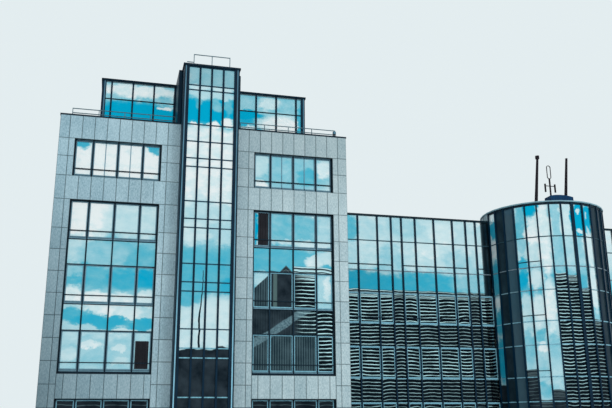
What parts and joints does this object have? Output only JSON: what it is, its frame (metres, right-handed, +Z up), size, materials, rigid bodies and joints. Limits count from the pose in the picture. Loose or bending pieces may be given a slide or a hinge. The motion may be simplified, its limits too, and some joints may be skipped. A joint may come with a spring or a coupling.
{
  "type": "glass office building",
  "caption": "Stone-clad office block with mirror-glass stair tower and set-back top storey, joined to a lower glazed wing with a round glass corner drum.",
  "frame": {"origin": "bottom centre of the whole building, on the ground", "axes": "+X along the front towards the round drum, +Y into the building from the front, +Z up"},
  "size_m": [39.7, 17.59, 22.47],
  "materials": {
    "stone_cladding": "fine honed stone panels with thin open joints",
    "window_frame": "dark blue-grey satin coating",
    "mirror_glass": "reflective blue-green solar glass",
    "concrete": "plain cast concrete",
    "dark_cladding": "dark satin sheet metal",
    "light_trim": "light satin anodised",
    "render_wall": "light smooth render",
    "dark_steel": "dark painted steel",
    "blue_sheet": "dark blue ribbed sheet"
  },
  "bodies": {
    "root": {"front_wall_piers": "stone_cladding", "front_wall_bands": "stone_cladding", "rear_wall_piers": "stone_cladding", "rear_wall_bands": "stone_cladding", "side_wall_piers": "stone_cladding", "side_wall_bands": "stone_cladding", "front_window_frames": "window_frame", "rear_window_frames": "window_frame", "side_window_frames": "window_frame", "tower_rails": "window_frame", "attic_posts": "window_frame", "attic_rails": "window_frame", "wing_front_posts": "window_frame", "wing_front_rails": "window_frame", "wing_rear_posts": "window_frame", "wing_rear_rails": "window_frame", "rotunda_posts": "window_frame", "rotunda_rails": "window_frame", "tower_posts": "window_frame", "front_window_glass": "mirror_glass", "rear_window_glass": "mirror_glass", "side_window_glass": "mirror_glass", "tower_glass": "mirror_glass", "attic_glass": "mirror_glass", "wing_front_glass": "mirror_glass", "wing_rear_glass": "mirror_glass", "rotunda_glass": "mirror_glass", "block_floors": "concrete", "block_roof": "concrete", "tower_landings": "concrete", "wing_floors": "concrete", "wing_roof": "concrete", "wing_columns": "concrete", "tower_cap": "dark_cladding", "tower_side_walls": "dark_cladding", "attic_roof": "dark_cladding", "block_coping": "dark_cladding", "shaft_walls": "dark_cladding", "tower_corner_posts": "light_trim", "rotunda_roof": "light_trim", "wing_corner_posts": "light_trim", "wing_roof_upstand": "render_wall", "rotunda_rear_wall": "render_wall", "roof_guard_rails": "dark_steel", "tower_guard_rail": "dark_steel", "masts": "dark_steel", "plant_box": "blue_sheet"}
  },
  "joints": []
}
